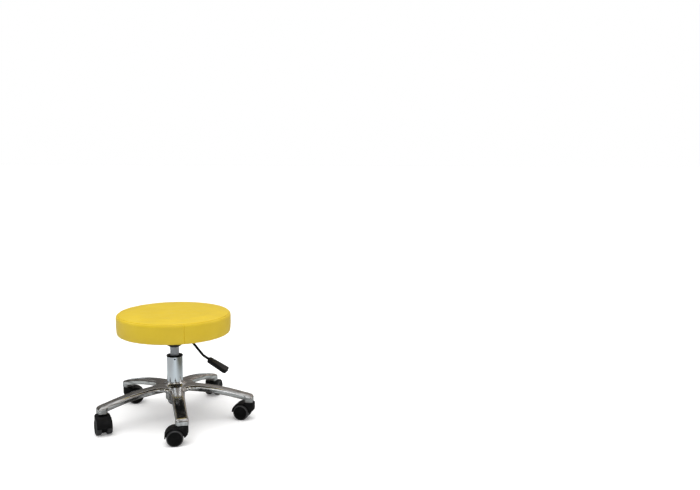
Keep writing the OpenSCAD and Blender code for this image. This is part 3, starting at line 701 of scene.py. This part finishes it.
def make_gas_tube():
    wall, end_t, taper_drop = 1.6, 2.0, 0.8
    mouth_r, top_r = GAS_R - 5, GAS_R - taper_drop
    section = [(mouth_r, GAS_LOW, 0), (GAS_R, GAS_LOW, 1.2), (GAS_R, SOCKET_LOW, 2),
               (top_r, GAS_TOP, 1.0), (mouth_r, GAS_TOP, 0), (mouth_r, GAS_TOP - end_t, 0),
               (top_r - wall, GAS_TOP - end_t, 0), (GAS_R - wall, SOCKET_LOW, 2),
               (GAS_R - wall, GAS_LOW + end_t, 0), (mouth_r, GAS_LOW + end_t, 0)]
    gas = lathe("gas_tube", fillet(section), 128, closed=True)
    paint = paint_material("gas_tube_grey", (0.43, 0.46, 0.49), 0.34)
    piece = add_object("gas_tube", gas, paint, "seat")
    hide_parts("pressure_tube")


# ---- casters ----

HOOD_CORNER_R, HOOD_EDGE_R, HOOD_RIM, WHEEL_ROOM = 16.0, 3.5, 5.5, 1.5
DISC_HALF_W, DISC_R = 7.5, WHEEL_R - 5  # the disc between the two wheels, which holds the axle
STEM_BORE_R, STEM_BORE_LOW = 5.6, 35.0
WHEEL_FACE_R = 20.9


def hood_field(x, y, z):
    """A hood with its stem at the origin and its wheels towards +X."""
    from_axle = np.hypot(x - TRAIL, z - WHEEL_R)
    block = rounded_max(-HOOD_REACH - x, HOOD_LOW - z, HOOD_CORNER_R)
    block = rounded_max(block, z - HOOD_TOP, HOOD_EDGE_R)
    block = rounded_max(block, x - (TRAIL / 2 + 3), HOOD_EDGE_R)
    outline = smooth_min(from_axle - (WHEEL_R + HOOD_RIM), block, 3.0)
    outline = rounded_max(outline, HOOD_LOW - z, 1.0)
    plan = np.hypot(np.minimum(x - HOOD_W / 2 + HOOD_REACH, 0), y) - HOOD_W / 2
    shell = rounded_max(outline, plan, HOOD_EDGE_R)
    room = rounded_max(from_axle - (WHEEL_R + WHEEL_ROOM), DISC_HALF_W - np.abs(y), 1.0)
    shell = rounded_max(shell, -room, 0.8)
    disc = rounded_max(from_axle - DISC_R, np.abs(y) - DISC_HALF_W, 0.8)
    shell = smooth_min(shell, disc, 1.0)
    bore = rounded_max(np.hypot(x, y) - STEM_BORE_R, STEM_BORE_LOW - z, 0.6)
    return rounded_max(shell, -bore, 0.8)


def wheel_mesh():
    """A wheel with its axle along Z: the inner face at 0, the outer at WHEEL_W."""
    w = WHEEL_W
    bore_r, bore_len, hub_r, web_t = 3.05, w - 2.5, 6.5, 3.0
    rim_in_r, tread_in_r = 19.0, 23.0
    section = [(0, bore_len, 0), (bore_r, bore_len, 0), (bore_r, 0, 0.3), (hub_r, 0, 0.4),
               (hub_r, w - web_t, 0.8), (rim_in_r, w - web_t, 1.0), (rim_in_r, 0, 0.4), (tread_in_r, 0, 1.0),
               (WHEEL_R, 1.6, 1.4), (WHEEL_R, w, 4.2), (20.6, w, 0.5), (20.2, w - 0.9, 0.4),
               (8.6, w - 0.9, 0.4), (8.0, w - 0.5, 0.3), (0, w - 0.5, 0)]
    return lathe("caster_wheel", fillet(section, 7), 96)


def make_casters():
    hood_nylon = nylon_material("hood_black", (0.004, 0.004, 0.0042), 0.40, 0.12)
    face_nylon = nylon_material("wheel_face_black", (0.004, 0.004, 0.004), 0.42, 0.1)
    # The tread and the rim's rounded edge are dark grey and glossier than the black face: partly the tread's own
    # colour, partly painted highlight where the rim catches light from above.
    tread_and_rim_glint = nylon_material("wheel_tread_grey_and_glint", (0.03, 0.03, 0.031), 0.36, 0.55)
    low, high = (-HOOD_REACH - 2, -CASTER_W / 2 - 0.5, 4), (54, CASTER_W / 2 + 0.5, HOOD_TOP)
    hood = iso_mesh("caster_hood", hood_field, low, high, 0.8)
    wheel = wheel_mesh()
    on_face = [int(p.center.xy.length < WHEEL_FACE_R * MM) for p in wheel.polygons]
    for i in CASTERS:
        stem = joint(f"caster_{i}_swivel")["pos_m"]
        hub = joint(f"caster_{i}_roll_left")["pos_m"]
        turn = math.atan2(hub[1] - stem[1], hub[0] - stem[0])
        place = Matrix.Translation((stem[0], stem[1], 0)) @ Matrix.Rotation(turn, 4, "Z")
        mesh = hood.copy()
        mesh.transform(place)
        piece = add_object(f"hood_{i}", mesh, hood_nylon, f"caster_{i}")
        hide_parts(f"caster_{i}_hood")
        for side, name in ((1, "left"), (-1, "right")):
            inner = side * (CASTER_W / 2 - WHEEL_W) * MM
            mesh = wheel.copy()
            mesh.transform(place @ Matrix.Translation((TRAIL * MM, inner, WHEEL_R * MM))
                           @ Matrix.Rotation(-side * math.pi / 2, 4, "X"))
            piece = add_object(f"wheel_{i}_{name}", mesh, tread_and_rim_glint, f"caster_{i}_{name}_wheel")
            mesh.materials.append(face_nylon)
            mesh.polygons.foreach_set("material_index", on_face)
            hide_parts(f"caster_{i}_wheel_{name}")


# ---- lever ----

def lever_path():
    """Points along the rod as (outwards, height above the pivot), and where its tail starts."""
    points = [(0.0, 0.0), (15.0, 0.0)]
    for t in np.linspace(0, LEVER_SLOPE, 14):
        points.append((LEVER_BEND_X + LEVER_BEND_R * math.sin(t), LEVER_BEND_R * (math.cos(t) - 1)))
    x, z = points[-1]
    x += LEVER_SLOPE_LEN * math.cos(LEVER_SLOPE)
    z -= LEVER_SLOPE_LEN * math.sin(LEVER_SLOPE)
    for t in np.linspace(LEVER_SLOPE, GRIP_SLOPE, 12):
        points.append((x + LEVER_BEND_2_R * (math.sin(LEVER_SLOPE) - math.sin(t)),
                       z - LEVER_BEND_2_R * (math.cos(t) - math.cos(LEVER_SLOPE))))
    x, z = points[-1]
    points.append((x + LEVER_TAIL_LEN * math.cos(GRIP_SLOPE), z - LEVER_TAIL_LEN * math.sin(GRIP_SLOPE)))
    return np.array(points), (x, z)


def rod_mesh(path, radius, steps=28):
    """A round rod along points in the XZ plane, with rounded ends."""
    ahead = np.gradient(path, axis=0)
    ahead /= np.linalg.norm(ahead, axis=1)[:, None]
    around = np.arange(steps) * 2 * math.pi / steps
    rings = []
    for t in np.linspace(math.pi / 2, 0, 7)[:-1]:
        rings.append((path[0] - ahead[0] * radius * math.sin(t), ahead[0], radius * math.cos(t)))
    rings += [(p, d, radius) for p, d in zip(path, ahead)]
    for t in np.linspace(0, math.pi / 2, 7)[1:]:
        rings.append((path[-1] + ahead[-1] * radius * math.sin(t), ahead[-1], radius * math.cos(t)))
    points = []
    for (x, z), (dx, dz), r in rings:
        side, up = r * np.sin(around), r * np.cos(around)
        points.append(np.stack([x - dz * up, side, z + dx * up], 1))
    return grid_mesh("lever_rod", np.array(points))


def grip_field(x, y, z):
    """The handle, along +X from its narrow end, a little thinner at its sides."""
    half = (GRIP_W + (GRIP_END_W - GRIP_W) * x / GRIP_LEN) / 2
    plan = rounded_max(np.abs(y) - half, np.abs(x - GRIP_LEN / 2) - GRIP_LEN / 2, 7.0)
    thick = np.abs(z) - GRIP_T / 2 + 0.006 * y ** 2
    return rounded_max(plan, thick, 2.6)


def make_lever():
    place = Matrix.Rotation(LEVER_TURN, 4, "Z") @ Matrix.Translation((0, 0, LEVER_PIVOT[2]))
    path, (tail_x, tail_z) = lever_path()
    rod = rod_mesh(path, LEVER_R)
    rod.transform(place)
    paint = paint_material("lever_black", (0.004, 0.004, 0.004), 0.35, 0.12)
    piece = add_object("lever_rod", rod, paint, "lever")
    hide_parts("release_lever")

    half_w, half_t = GRIP_END_W / 2, GRIP_T / 2
    grip = iso_mesh("lever_grip", grip_field, (0, -half_w, -half_t), (GRIP_LEN, half_w, half_t), 0.8)
    grip.transform(place @ Matrix.Translation((tail_x * MM, 0, tail_z * MM))
                   @ Matrix.Rotation(GRIP_SLOPE, 4, "Y") @ Matrix.Rotation(GRIP_ROLL, 4, "X")
                   @ Matrix.Translation((GRIP_START * MM, 0, -GRIP_DROP * MM)))
    # The grip's faces that look up are painted paler, as painted light from above.
    plastic = nylon_material("grip_plastic", (0.003, 0.003, 0.003), 0.45, 0.25,
                             painted_top_light=(0.025, 0.022, 0.0215))
    piece = add_object("lever_grip", grip, plastic, "lever")
    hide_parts("lever_handle")


# ---- seat ----

FORM_R, FORM_TOP, FORM_EDGE, FORM_LOW_EDGE = SEAT_R - 2.6, SEAT_HIGH - 2.4, 11.0, 6.0
SEAM_SLOPE = math.radians(46)  # where the top panel's seam lies on the rounded edge
BAND_SEAM = math.radians(-85)
SEAM_DEPTH, SEAM_W, BAND_SEAM_W = 1.3, 0.9, 0.85
FOAM_CROWN, FOAM_TOP, FOAM_SIDE = 4.6, 1.0, 1.9  # how far the foam holds the cover out from the form
MOST_SWELLING = 5.8
SMOOTHINGS = 24


def cushion_rows():
    """Half section of the cushion before it swells, from the top's centre to the inside over the board.

    Gives each row's (radius, height), its outward normal, and how much of the swelling it takes.
    """
    rows = []
    for r in np.linspace(0, FORM_R - FORM_EDGE, 44)[:-1]:
        rows.append((r, FORM_TOP, 0, 1, 1))
    for t in np.linspace(math.pi / 2, 0, 34):
        r, z = FORM_R + FORM_EDGE * (math.cos(t) - 1), FORM_TOP + FORM_EDGE * (math.sin(t) - 1)
        rows.append((r, z, math.cos(t), math.sin(t), 1))
    side_top, side_low = FORM_TOP - FORM_EDGE, SEAT_LOW + FORM_LOW_EDGE
    for z in np.linspace(side_top, side_low, 18)[1:-1]:
        rows.append((FORM_R, z, 1, 0, min(1, (z - side_low) / 12)))
    for t in np.linspace(0, math.pi / 2, 10):
        r, z = FORM_R + FORM_LOW_EDGE * (math.cos(t) - 1), SEAT_LOW + FORM_LOW_EDGE * (1 - math.sin(t))
        rows.append((r, z, math.cos(t), -math.sin(t), 0))
    for r in np.linspace(FORM_R - FORM_LOW_EDGE, FLAP_IN_R, 12)[1:]:
        rows.append((r, SEAT_LOW, 0, -1, 0))
    for r, z in ((FLAP_IN_R, BOARD_LOW), (BOARD_R, BOARD_LOW), (BOARD_R, BOARD_HIGH), (0, BOARD_HIGH)):
        rows.append((r, z, 0, 0, 0))
    rows = np.array(rows)
    return rows[:, :2], rows[:, 2:4], rows[:, 4]


def swollen_form(section):
    """The cushion's plain form after cloth simulation, as a tree to cast rays at, in metres."""
    scene = bpy.context.scene
    mesh = lathe("cushion_form", section, 120)
    form = bpy.data.objects.new("cushion_form", mesh)
    scene.collection.objects.link(form)
    remesh = form.modifiers.new("remesh", "REMESH")
    remesh.mode = "VOXEL"
    remesh.voxel_size = 0.006
    graph = bpy.context.evaluated_depsgraph_get()
    form.data = bpy.data.meshes.new_from_object(form.evaluated_get(graph))
    form.modifiers.clear()
    start = np.array([v.co for v in form.data.vertices])
    pinned = form.vertex_groups.new(name="pinned")
    pinned_below = (SEAT_LOW + 9) * MM
    pinned.add([i for i, p in enumerate(start) if p[2] < pinned_below], 1.0, "REPLACE")
    cloth = form.modifiers.new("cloth", "CLOTH")
    cloth.settings.use_pressure = True
    cloth.settings.uniform_pressure_force = 4.0
    cloth.settings.effector_weights.gravity = 0.0
    cloth.settings.vertex_group_mass = "pinned"
    cloth.settings.tension_stiffness = 25.0
    cloth.settings.compression_stiffness = 25.0
    for number in range(1, 21):
        scene.frame_set(number)
    graph = bpy.context.evaluated_depsgraph_get()
    blown = form.evaluated_get(graph).to_mesh()
    moved = np.array([v.co for v in blown.vertices]) - start
    length = np.linalg.norm(moved, axis=1, keepdims=True)
    cap = MOST_SWELLING * MM
    end = start + moved * cap * np.tanh(length / cap) / np.maximum(length, 1e-9)
    tree = BVHTree.FromPolygons([tuple(p) for p in end], [tuple(f.vertices) for f in form.data.polygons])
    bpy.data.objects.remove(form)
    scene.frame_set(1)
    return tree


def swelling(section, normals, share, angles):
    """How far each point of the cushion stands out from its plain form, in millimetres."""
    r, z = section.T
    on_top = z >= FORM_TOP - FORM_EDGE * (1 - math.sin(SEAM_SLOPE))
    foam = np.where(on_top, FOAM_CROWN * np.clip(1 - (r / FORM_R) ** 2, 0, 1) + FOAM_TOP, FOAM_SIDE)
    foam = (share * foam)[:, None] + np.zeros((len(section), len(angles)))
    out = np.zeros_like(foam)
    tree = swollen_form(section)
    back, reach = 6.0, 30.0
    for i in np.nonzero(share)[0]:
        normal_r, normal_z = normals[i]
        from_r, from_z = section[i] - back * normals[i]
        for k, turn in enumerate(angles):
            across, along = math.cos(turn), math.sin(turn)
            start = Vector((from_r * across, from_r * along, from_z)) * MM
            way = Vector((normal_r * across, normal_r * along, normal_z))
            spot, _, _, distance = tree.ray_cast(start, way, reach * MM)
            out[i, k] = out[i - 1, k] if spot is None else share[i] * (distance / MM - back)
    # the foam inside keeps the cover from sinking, so the further out of the two counts
    out = -smooth_min(-out, -foam, 1.2)
    for number in range(SMOOTHINGS):
        out = (np.roll(out, 1, 1) + 2 * out + np.roll(out, -1, 1)) / 4
        if number % 3 == 0:
            out[1:-1] = (out[:-2] + 2 * out[1:-1] + out[2:]) / 4
    return out * (share > 0)[:, None]


def bump_line(away, width):
    """1 on a line and 0 well away from it."""
    return np.exp(-(away / width) ** 2)


def gathers(angles, seed, slow, fast):
    """Small uneven waves round the cushion, about 1 high."""
    rng = np.random.default_rng(seed)
    waves = np.arange(slow, fast)
    phase = rng.uniform(0, 2 * math.pi, len(waves))
    size = rng.uniform(0.3, 1, len(waves))
    total = (size[:, None] * np.cos(np.outer(waves, angles) + phase[:, None])).sum(0)
    return total / np.abs(total).max()


def sewn(section, normals, share, angles):
    """How far the seams, gathers and pleats move each point of the cover outwards, in millimetres."""
    height = section[:, 1:]
    along = np.concatenate([[0], np.cumsum(np.linalg.norm(np.diff(section, axis=0), axis=1))])
    top_seam = FORM_R - FORM_EDGE + FORM_EDGE * (math.pi / 2 - SEAM_SLOPE)
    away = (along - top_seam)[:, None]
    out = -SEAM_DEPTH * bump_line(away, SEAM_W)
    out = out + 0.45 * (bump_line(away - 2.6, 1.5) + bump_line(away + 2.6, 1.5))
    out = out + 0.22 * gathers(angles, 5, 30, 110) * bump_line(away, 7.0) * (share > 0)[:, None]

    side = (away > 0) & (height > SEAT_LOW + 1)
    across = ((angles - BAND_SEAM + math.pi) % (2 * math.pi) - math.pi) * FORM_R
    out -= side * SEAM_DEPTH * bump_line(across, BAND_SEAM_W)
    out += side * 0.4 * (bump_line(across - 2.2, 1.3) + bump_line(across + 2.2, 1.3))

    low_edge = bump_line(height - (SEAT_LOW + 4), 9.0) * (normals[:, :1] > 0.02)
    out += 0.3 * gathers(angles, 9, 25, 90) * low_edge
    flap = (height < SEAT_LOW + 0.01) * np.clip((FORM_R - 4 - section[:, :1]) / 8, 0, 1)
    out -= 0.5 * flap * np.clip(gathers(angles, 3, 55, 75), 0, 1)
    return out


def make_cushion():
    section, normals, share = cushion_rows()
    near = np.radians(np.arange(-2, 2.01, 0.14)) + BAND_SEAM
    far = np.radians(np.arange(3, 358, 1.0)) + BAND_SEAM
    angles = np.concatenate([near, far])
    out = swelling(section, normals, share, angles) + sewn(section, normals, share, angles)
    rings = turned(section, angles) + out[:, :, None] * turned(normals, angles)
    mesh = grid_mesh("seat_cushion", rings[::-1])
    piece = add_object("seat_cushion", mesh, vinyl_material(), "seat")
    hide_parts("seat_cover", "seat_foam")


def make_dust_cover():
    """Black cloth stretched under the seat, stapled round its edge and cut out for the plate."""
    steps = 320
    angles = np.arange(steps) * 2 * math.pi / steps
    half = PLATE_W / 2 + 3
    window = half / np.maximum(np.abs(np.cos(angles)), np.abs(np.sin(angles)))
    window = np.minimum(window, half * math.sqrt(2) - 5.5)
    between = 0.5 - 0.5 * np.cos(STAPLES * angles)  # 0 at each staple, 1 midway between two
    edge = CLOTH_R + 0.8 * (between - 1)
    rings = []
    for face, order in ((CLOTH_HIGH - 0.05, 1), (CLOTH_LOW + 0.05, -1)):
        for t in np.linspace(0, 1, 13)[::order]:
            r = window + (edge - window) * t
            ripple = 1.5 * between * t ** 2 * (1 - t) + 0.3 * gathers(angles, 11, 8, 40) * t * (1 - t)
            rings.append(np.stack([r * np.cos(angles), r * np.sin(angles), face + ripple], 1))
    mesh = grid_mesh("seat_dust_cover", np.array(rings), closed=True)
    piece = add_object("seat_dust_cover", mesh, cloth_material(), "seat")
    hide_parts("dust_cover")


# ---- CAD pieces that keep their shape ----

def finish_cad_nodes():
    zinc = steel_material("zinc_plate", (0.62, 0.63, 0.64), 0.3)
    bright = steel_material("bright_steel", (0.7, 0.71, 0.72), 0.16)
    spring = steel_material("spring_steel", (0.16, 0.16, 0.17), 0.35)
    plain = steel_material("plain_steel", (0.38, 0.38, 0.39), 0.4)
    alloy = steel_material("turned_alloy", (0.66, 0.64, 0.6), 0.3)
    brass = steel_material("cage_brass", (0.66, 0.5, 0.25), 0.3)
    looks = {
        "plain_steel": plain, "bright_steel": bright, "zinc_steel": zinc, "spring_steel": spring,
        "staple_wire": zinc, "piston_alloy": alloy, "cage_brass": brass, "black_rubber": rubber_material(),
        "black_nylon": nylon_material("nylon_black", (0.006, 0.006, 0.0065), 0.4),
        "black_paint": paint_material("powder_coat", (0.008, 0.008, 0.0085), 0.42),
        "plywood": plywood_material(),
        "black_rod_paint": paint_material("rod_black", (0.012, 0.012, 0.012), 0.3),
        "handle_plastic": nylon_material("handle_plastic", (0.03, 0.027, 0.029), 0.45),
        "yellow_vinyl": vinyl_material(), "seat_foam": vinyl_material(), "chrome": chrome_material(),
        "grey_paint": paint_material("grey_paint", (0.4, 0.41, 0.43), 0.35),
        "polished_aluminium": polished_material(),
        "hood_nylon": nylon_material("hood_nylon", (0.006, 0.006, 0.0062), 0.42),
        "dust_cloth": cloth_material(),
        "wheel_nylon": nylon_material("wheel_nylon", (0.022, 0.022, 0.023), 0.5),
    }
    slot_of = {part["node"]: part["material_slot"] for part in frame["record"]["subparts"]}
    for name, node in frame["nodes"].items():
        node.data.materials.clear()
        node.data.materials.append(looks[slot_of[name]])


make_camera()
make_studio()
finish_cad_nodes()
make_star_base()
make_outer_tube()
make_bush()
make_peg()
make_gas_tube()
make_casters()
make_lever()
make_cushion()
make_dust_cover()
